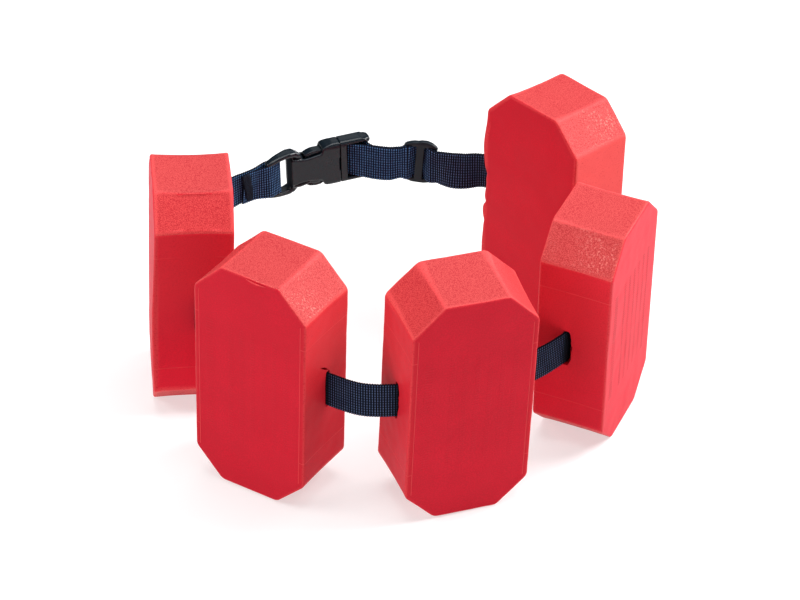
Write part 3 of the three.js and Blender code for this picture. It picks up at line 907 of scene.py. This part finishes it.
def smooth_run(spots, values, step):
    """Curves through the values at the spots, and the lengths along them, at even steps."""
    before = np.vstack([2 * spots[0] - spots[1], spots[:-1]])
    past = np.vstack([spots[1:], 2 * spots[-1] - spots[-2]])
    columns = np.hstack([spots, values])
    lead = np.vstack([2 * columns[0] - columns[1], columns[:-1]])
    follow = np.vstack([columns[1:], 2 * columns[-1] - columns[-2]])
    gap_before = np.linalg.norm(spots - before, axis=1) ** 0.5
    gap_after = np.linalg.norm(past - spots, axis=1) ** 0.5
    made = []
    for i in range(len(spots) - 1):
        here, there = columns[i], columns[i + 1]
        a, b, c = gap_before[i], gap_after[i], gap_after[i + 1]
        leave = ((here - lead[i]) / a - (there - lead[i]) / (a + b) + (there - here) / b) * b
        beyond = follow[i + 1]
        arrive = ((there - here) / b - (beyond - here) / (b + c) + (beyond - there) / c) * b
        count = max(2, math.ceil(np.linalg.norm(spots[i + 1] - spots[i]) / step))
        for share in np.arange(count) / count:
            square = share * share
            cube = square * share
            made.append(here * (2 * cube - 3 * square + 1) + leave * (cube - 2 * square + share)
                        + there * (3 * square - 2 * cube) + arrive * (cube - square))
    made.append(columns[-1])
    made = np.array(made)
    along = np.concatenate([[0], np.cumsum(np.linalg.norm(np.diff(made[:, :3], axis=0), axis=1))])
    return along, made[:, :3], made[:, 3:]


def depth_in_float(spot, places):
    """How deep the strap is in a slot there, and less than nothing outside."""
    deepest = -100
    for place in places:
        x, y, z = place @ Vector(spot)
        if abs(y) < FACE and abs(z) < TOP:
            deepest = max(deepest, SIDE - abs(x))
    return deepest


def strap_section():
    """The flat round-edged section, as shares of half the width and half the thickness."""
    flat = np.linspace(-0.975, 0.975, STRAP_COLUMNS)
    back = [(x, 1.0) for x in flat]
    front = [(x, -1.0) for x in flat[::-1]]
    return np.array(back + [(0.995, 0.55), (0.995, -0.55)] + front + [(-0.995, -0.55), (-0.995, 0.55)])


def webbing_finish():
    material, nodes = new_finish("navy_webbing")
    weave = painted(nodes, "weave", "Vector")
    along = nodes.add("ShaderNodeSeparateXYZ", None, {"Vector": weave})
    across = along.output("Y")
    fuzz = speckle(nodes, weave, 2.2, 3)
    shade = speckle(nodes, weave, 0.12, 2)
    ribs = along / RIB_PITCH
    cord = (ribs * math.tau).maths("COSINE", ribs * math.tau) * 0.5 + 0.5
    yarns = across * (math.tau / YARN_PITCH)
    yarn = yarns.maths("COSINE", yarns) * 0.5 + 0.5
    bluer = painted(nodes, "bluer")
    # The ribs: painted light on their crests, painted shade in the grooves between them
    crest = cord.between(0.5 - 0.3 * bluer, 0.98)
    thread = crest * (0.08 + 1.17 * yarn) * (0.5 + 0.9 * fuzz)
    low = bluer.colours(WEB_GROOVE_SHADE, WEB_GROOVE_SHADE_BLUER)
    high = bluer.colours(WEB_CREST_LIGHT, WEB_CREST_LIGHT_BLUER)
    colour = thread.colours(low, high)
    colour = (shade.between(0.35, 0.7) * 0.25).colours(colour, WEB_SHADE)
    # Painted shade in the slots' mouths
    colour = (along.output("Z") * 0.85).colours(colour, WEB_MOUTH_SHADE)
    edge = abs(across).between(EDGE_FROM, EDGE_TO)
    colour = (edge * 0.75).colours(colour, WEB_EDGE)
    height = yarn * cord * 0.7 + fuzz * 0.35
    close_finish(nodes, **{
        "Base Color": colour,
        "Roughness": 0.66 + 0.2 * fuzz,
        "Specular IOR Level": 0.08,
        "Normal": relief(nodes, height, 0.7, 0.25),
    })
    return material


float_frames = []
for name in FLOATS:
    into = float_place(frame["nodes"][name]).inverted()
    float_frames.append(Matrix.Scale(1 / MM, 4) @ into @ Matrix.Scale(MM, 4))

# The solid's rings, and more of them for the tail, which goes on beside the strap
ring_middles, ring_ups = strap_rings(frame["nodes"]["webbing_strap"])
tail_end = ring_middles[-1]
onward = ring_middles[-1] - ring_middles[-2]
onward /= np.linalg.norm(onward)
ahead = (ring_middles - tail_end) @ onward
beside = np.linalg.norm(ring_middles - tail_end - ahead[:, None] * onward, axis=1)
follow = np.flatnonzero((ahead > 3) & (ahead < TAIL_PAST) & (beside < 12))
follow = follow[np.argsort(ahead[follow])]
away = tail_end - ring_middles[follow[0]]
away -= onward * (away @ onward)
away *= TAIL_GAP / np.linalg.norm(away)
away[2] = 0
ring_middles = np.vstack([ring_middles, ring_middles[follow] + away])
ring_ups = np.vstack([ring_ups, ring_ups[follow]])

# Tight between two floats, and hanging or lifted at the back
before, after = (
    [i for i, spot in enumerate(ring_middles) if depth_in_float(spot, [float_frames[number]]) > 0]
    for number in TIGHT_SPAN)
leaving = max(before)
coming = min(after)
for i in range(leaving + 1, coming):
    share = (i - leaving) / (coming - leaving)
    chord = ring_middles[leaving] * (1 - share) + ring_middles[coming] * share
    ring_middles[i] += (chord - ring_middles[i]) * TIGHT_SHARE
at_back = ring_middles[:, 1] > BACK_FROM
for across, spread, lift in SAGS:
    ring_middles[:, 2] += at_back * lift * bell(ring_middles[:, 0], across, spread)
run_along, run_middles, run_ups = smooth_run(ring_middles, ring_ups, RUN_STEP)
at_back = run_middles[:, 1] > BACK_FROM
over_flap = at_back * rise(run_along, SEWN_LENGTH, SEWN_LENGTH + SEWN_EASE)
run_middles[:, 2] += over_flap * SEWN_LIFT[2] * bell(run_middles[:, 0], *SEWN_LIFT[:2])
run_middles[:, 2] += FLAP_LIFT * (1 - rise(run_along, SEWN_TRIM, SEWN_TRIM + FLAP_LENGTH))
run_middles[:, 0] += at_back * LOOP_SHIFT[2] * bell(run_middles[:, 0], *LOOP_SHIFT[:2])

# Lengths along it at which the mesh has rings, several to a rib where it shows
wanted = [float(SEWN_TRIM)]
fine_step = RIB_PITCH / RIB_STEPS
while wanted[-1] < run_along[-1]:
    here = run_middles[np.searchsorted(run_along, wanted[-1])]
    hidden = depth_in_float(here, float_frames) > HIDDEN_DEPTH
    wanted.append(wanted[-1] + (HIDDEN_STEP if hidden else fine_step))
wanted = np.array(wanted)
strap_middles, strap_ups = (
    np.stack([np.interp(wanted, run_along, column) for column in values.T], axis=1)
    for values in (run_middles, run_ups))
strap_ways = unit_each(np.gradient(strap_middles, wanted, axis=0))
strap_asides = unit_each(np.cross(strap_ways, strap_ups))
upright = np.array([0, 0, 1])
strap_ups = unit_each(upright - strap_asides * (strap_asides @ upright)[:, None])

# Ribs and scalloped edges, and the places where it is spread
section = strap_section()
swell = np.cos(math.tau * wanted / RIB_PITCH)
half_thick = STRAP_THICK / 2 - RIB_HEIGHT * (0.5 - 0.5 * swell)
half_wide = STRAP_WIDTH / 2 - RIB_SCALLOP * (0.5 - 0.5 * swell)
from_slider = np.linalg.norm(strap_middles - np.array(SLIDER_MIDDLE), axis=1)
in_slider = 1 - rise(from_slider, SLIDER_REACH - 4, SLIDER_REACH)
half_wide += SLIDER_SPREAD * in_slider
strap_middles[:, 2] += SLIDER_LIFT * in_slider
sewn_over = rise(wanted, SEWN_LENGTH, SEWN_LENGTH + SEWN_EASE) * (strap_middles[:, 1] > BACK_FROM)
half_wide += sewn_over * SEWN_LIFT[2] * bell(strap_middles[:, 0], *SEWN_LIFT[:2])
in_slot = np.array([depth_in_float(spot, float_frames) for spot in strap_middles])
strap_points = (strap_middles[:, None, :]
                + strap_ups[:, None, :] * (half_wide[:, None] * section[None, :, 0])[:, :, None]
                + strap_asides[:, None, :] * (half_thick[:, None] * section[None, :, 1])[:, :, None])
strap_weave = np.zeros_like(strap_points)
strap_weave[:, :, 0] = wanted[:, None]
strap_weave[:, :, 1] = section[None, :, 0] * STRAP_WIDTH / 2
# Its third part tells how far it lies in a slot's mouth, for the painted shade there
strap_weave[:, :, 2] = rise(in_slot, *MOUTH_SHADE)[:, None]
corners = len(section)

mesh = bpy.data.meshes.new("strap")
strap_faces = ring_faces(len(wanted), corners)
mesh.from_pydata((strap_points.reshape(-1, 3) * MM).tolist(), [], strap_faces)
weave = mesh.attributes.new("weave", "FLOAT_VECTOR", "POINT")
weave.data.foreach_set("vector", strap_weave.reshape(-1))
bluer_share = rise(strap_middles[:, 1], *BLUER_START) * (1 - rise(strap_middles[:, 0], *BLUER_END))
paint(mesh, "bluer", "POINT", np.repeat(bluer_share, corners))
shape = bmesh.new()
shape.from_mesh(mesh)
bmesh.ops.recalc_face_normals(shape, faces=shape.faces)
shape.to_mesh(mesh)
shape.free()
mesh.shade_smooth()
mesh.materials.append(webbing_finish())
strap = placed("strap", mesh)
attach(strap, "root")
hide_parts("webbing_strap")


# Bar tack: the folded end is sewn to the strap by one dense zigzag of dark thread across its
# whole width, through both layers, so that it shows on either side.
TACK_ACROSS = -98.2
TACK_ROWS = (-1.5, 1.4)
TACK_REACH = 2.1
TACK_STITCHES = 30
TACK_THREAD = 0.3
TACK_SLANT = 0.26
TACK_LEAN = 0.19
TACK_UNEVEN = 0.45
TACK_MARGIN = 1.3
TACK_RISE = 0.4
TACK_LAYER = 1.55
LAYER_HALF = 0.9
THREAD_DARK = (0.0010, 0.0022, 0.0060, 1)
THREAD_LIGHT = (0.010, 0.017, 0.036, 1)


def thread_finish():
    material, nodes = new_finish("dark_thread")
    place = nodes.add("ShaderNodeTexCoord", None, None, "Object")
    twist = speckle(nodes, place, 2600, 2)
    colour = twist.between(0.35, 0.7).colours(THREAD_DARK, THREAD_LIGHT)
    close_finish(nodes, **{
        "Base Color": colour,
        "Roughness": 0.5 + 0.2 * twist,
        "Specular IOR Level": 0.1,
        "Normal": relief(nodes, twist, 0.5, 0.1),
    })
    return material


sewn = wanted < SEWN_LENGTH
tack_ring = int(np.argmin(np.abs(strap_middles[sewn, 0] - TACK_ACROSS)))
tack_way = strap_ways[tack_ring]
tack_up = strap_ups[tack_ring]
tack_aside = strap_asides[tack_ring]
tack_middle = strap_middles[tack_ring] - tack_aside * LAYER_HALF
tack_points = []
tack_faces = []
for face in (-1, 1):
    for row in TACK_ROWS:
        path = []
        for i in range(TACK_STITCHES * 2 + 1):
            height = (i / (TACK_STITCHES * 2) - 0.5) * (STRAP_WIDTH - 2 * TACK_MARGIN) + TACK_RISE
            reach = TACK_REACH * (1 + TACK_UNEVEN * noise.noise(Vector((i * 0.71, row, face))))
            onward = 1 if i % 2 else -1
            for share, lift in ((-1, -0.12), (-0.6, 0.1), (0.6, 0.1), (1, -0.12)):
                spot = tack_middle + tack_way * (row - TACK_SLANT * height + share * onward * reach)
                spot = spot + tack_up * (height + share * TACK_LEAN)
                path.append(spot + tack_aside * face * (TACK_LAYER + lift))
        made, faces = tube(path, np.full(len(path), TACK_THREAD), 6)
        tack_faces += [tuple(i + len(tack_points) for i in corner) for corner in faces]
        tack_points += made
mesh = bpy.data.meshes.new("bar_tack")
mesh.from_pydata((np.array(tack_points) * MM).tolist(), [], tack_faces)
mesh.shade_smooth()
mesh.materials.append(thread_finish())
bar_tack = placed("bar_tack", mesh)
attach(bar_tack, "root")


# Buckle and slider: the shell half, the prong half and the three-bar slider, all moulded in dark
# grey acetal with a fine satin surface and softly rounded edges, held by the strap alone.
BUCKLE_AT = Vector((-54.488, 130.646, 79.5))
BUCKLE_TURN = 21
BUCKLE_LEAN = 1.5
BUCKLE_ROLL = -0.4
SLIDER_AT = Vector((15.312, 134.746, 78.8))
SLIDER_TURN = -8
SLIDER_LEAN = -3
SLIDER_ROLL = 4.5
PLASTIC_GRAIN = 0.42
PLASTIC_ROUNDS = 4
PLASTIC_DARK = (0.0045, 0.0090, 0.0140, 1)
PLASTIC_LIGHT = (0.0062, 0.0115, 0.0170, 1)

# Thick round bars of the mouldings, each as stations along it, with a spot along and up, half the
# bar's height and half its depth. The shell half has two frame rails and the wall of its window,
# all bent toward the wearer at a hinge line, and a lip under its face; the prong half has two end
# rails and a lower side; the slider has a bowed top.
FRAME_HINGE = -15
FRAME_TILT = 17
FRAME_RAIL = (
    (-38.4, 11.4, 0.8, 1.2), (-37.4, 12.4, 1.5, 2.3), (-35.0, 13.3, 1.7, 2.9), (-32.0, 14.1, 1.7, 3.3),
    (-29.0, 14.6, 1.8, 3.6), (-25.0, 14.9, 1.9, 4.0), (-21.0, 14.9, 2.2, 4.4), (-17.5, 14.2, 2.4, 4.4),
    (-14.8, 12.4, 2.3, 4.2), (-12.5, 10.2, 1.9, 3.8), (-10.8, 8.6, 1.0, 3.0),
)
FRAME_WALL = (
    (-18.5, -12, 0.7, 4.0), (-18.5, -6, 0.9, 4.4), (-18.5, 6, 0.9, 4.4), (-18.5, 12, 0.7, 4.0),
)
SHELL_LIP = (
    (-18.5, 11.0, 0.8, 2.0), (-16.5, 11.6, 1.6, 3.0), (-12.0, 11.4, 1.8, 3.4), (-7.0, 10.6, 1.6, 3.2),
    (-4.0, 10.0, 0.8, 2.4),
)
PRONG_RAIL = (
    (27.0, 13.9, 0.6, 3.6), (28.0, 13.8, 1.5, 4.8), (33.0, 13.5, 2.2, 5.0), (35.8, 13.0, 2.4, 4.8),
    (37.4, 12.6, 2.1, 4.2), (38.2, 12.4, 1.2, 3.2),
)
PRONG_SIDE = (
    (-7.5, 12.4, 0.8, 2.2), (-5.0, 13.5, 1.3, 2.8), (-1.0, 14.0, 1.5, 3.0), (3.0, 13.8, 1.4, 2.8),
    (5.5, 13.0, 0.8, 2.0),
)
SLIDER_TOP = (
    (-3.0, 15.4, 0.9, 1.4), (0.5, 16.2, 1.2, 1.8), (4.0, 16.3, 1.3, 1.8), (7.5, 15.2, 1.2, 1.8),
    (10.2, 13.5, 0.9, 1.5), (11.6, 12.4, 0.5, 1.0),
)

# The wall of the shell half's window is left matt, from where to where along
MATT_FROM = -19.8
MATT_TO = -16.4


def hung(at, turn, lean, roll):
    place = Matrix.Translation(at * MM)
    for angle, axis in ((turn, "Z"), (roll, "Y"), (-lean, "X")):
        place = place @ Matrix.Rotation(math.radians(angle), 4, axis)
    return place


def swept(stations, corners=20):
    """Points and faces of a closed round-edged bar along its stations."""
    spots = np.array([station[:2] for station in stations], float)
    ways = unit_each(np.gradient(spots, axis=0))
    points = []
    for (x, z), (way_x, way_z), (_, _, half_high, half_deep) in zip(spots, ways, stations):
        for k in range(corners):
            turn = math.tau * k / corners
            high = math.copysign(abs(math.cos(turn)) ** 0.7, math.cos(turn)) * half_high
            deep = math.copysign(abs(math.sin(turn)) ** 0.7, math.sin(turn)) * half_deep
            points.append((x - way_z * high, deep, z + way_x * high))
    return points, ring_faces(len(stations), corners)


def plastic_finish(name, roughness, gloss):
    material, nodes = new_finish(name)
    place = nodes.add("ShaderNodeTexCoord", None, None, "Object")
    satin = speckle(nodes, place, 3200, 2)
    cloud = speckle(nodes, place, 110, 3)
    colour = cloud.between(0.3, 0.7).colours(PLASTIC_DARK, PLASTIC_LIGHT)
    close_finish(nodes, **{
        "Base Color": colour,
        "Roughness": roughness + 0.1 * cloud,
        "Specular IOR Level": gloss,
        "Normal": relief(nodes, satin, 0.25, 0.05),
    })
    return material


grey_plastic = plastic_finish("grey_plastic", 0.19, 0.36)
dark_plastic = plastic_finish("dark_plastic", 0.28, 0.22)
matt_plastic = plastic_finish("matt_plastic", 0.7, 0.05)
frame_bend = Matrix.Translation((FRAME_HINGE, 0, 0)) @ Matrix.Rotation(math.radians(FRAME_TILT), 4, "Z")
frame_bend = frame_bend @ Matrix.Translation((-FRAME_HINGE, 0, 0))
straight = Matrix()

# For each moulding its bars, which side up they lie, how far they are shifted inward, and their bend
bars = {
    "buckle_female": [
        (FRAME_RAIL, -1, 1.3, frame_bend),
        (FRAME_RAIL, 1, -1.6, frame_bend),
        (FRAME_WALL, 1, 0, frame_bend),
        (SHELL_LIP, -1, -1.2, straight),
    ],
    "buckle_male": [
        (PRONG_RAIL, -1, 0, straight),
        (PRONG_RAIL, 1, 0, straight),
        (PRONG_SIDE, -1, 0, straight),
    ],
    "strap_slider": [(SLIDER_TOP, 1, 0, straight)],
}
buckle_place = hung(BUCKLE_AT, BUCKLE_TURN, BUCKLE_LEAN, BUCKLE_ROLL)
slider_place = hung(SLIDER_AT, SLIDER_TURN, SLIDER_LEAN, SLIDER_ROLL)

for name in bars:
    place = slider_place if name == "strap_slider" else buckle_place
    mesh = frame["nodes"][name].data.copy()
    mesh.name = name + "_moulding"
    mesh.transform(place.inverted())
    shape = bmesh.new()
    shape.from_mesh(mesh)
    bmesh.ops.remove_doubles(shape, verts=shape.verts, dist=SAME_SPOT)
    for stations, side, shift, bent in bars[name]:
        points, faces = swept(stations)
        corners = [shape.verts.new(bent @ Vector((x, y + shift, z * side)) * MM) for x, y, z in points]
        for face in faces:
            shape.faces.new([corners[i] for i in face[::side]])
    shape.to_mesh(mesh)
    shape.free()
    piece = placed(name + "_moulding", mesh)
    moulding = piece.modifiers.new("moulding", "REMESH")
    moulding.mode = "VOXEL"
    moulding.voxel_size = PLASTIC_GRAIN * MM
    rounding = piece.modifiers.new("rounding", "SMOOTH")
    rounding.factor = 0.5
    rounding.iterations = PLASTIC_ROUNDS
    mesh = applied(piece)
    mesh.shade_smooth()
    mesh.materials.clear()
    mesh.materials.append(dark_plastic if name == "strap_slider" else grey_plastic)
    if name == "buckle_female":
        mesh.materials.append(matt_plastic)
        for polygon in mesh.polygons:
            x = polygon.center.x / MM
            polygon.material_index = int(MATT_FROM < x < MATT_TO and polygon.normal.x < -0.55)
    piece.matrix_world = place
    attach(piece, "root")
    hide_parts(name)


# Table: the plain white surface that the belt was photographed on. It has a glow of its own, so
# that shadows on it stay faint.
TABLE_RADIUS = 6
TABLE_GREY = (0.5, 0.5, 0.5, 1)
TABLE_GLOW = 0.55

table_mesh = bpy.data.meshes.new("table")
shape = bmesh.new()
bmesh.ops.create_circle(shape, cap_ends=True, radius=TABLE_RADIUS, segments=64)
shape.to_mesh(table_mesh)
shape.free()
table_finish, nodes = new_finish("pale_table")
close_finish(nodes, **{
    "Base Color": TABLE_GREY,
    "Roughness": 0.9,
    "Specular IOR Level": 0.1,
    "Emission Color": (1, 1, 1, 1),
    "Emission Strength": TABLE_GLOW,
})
table_mesh.materials.append(table_finish)
table = placed("table", table_mesh)
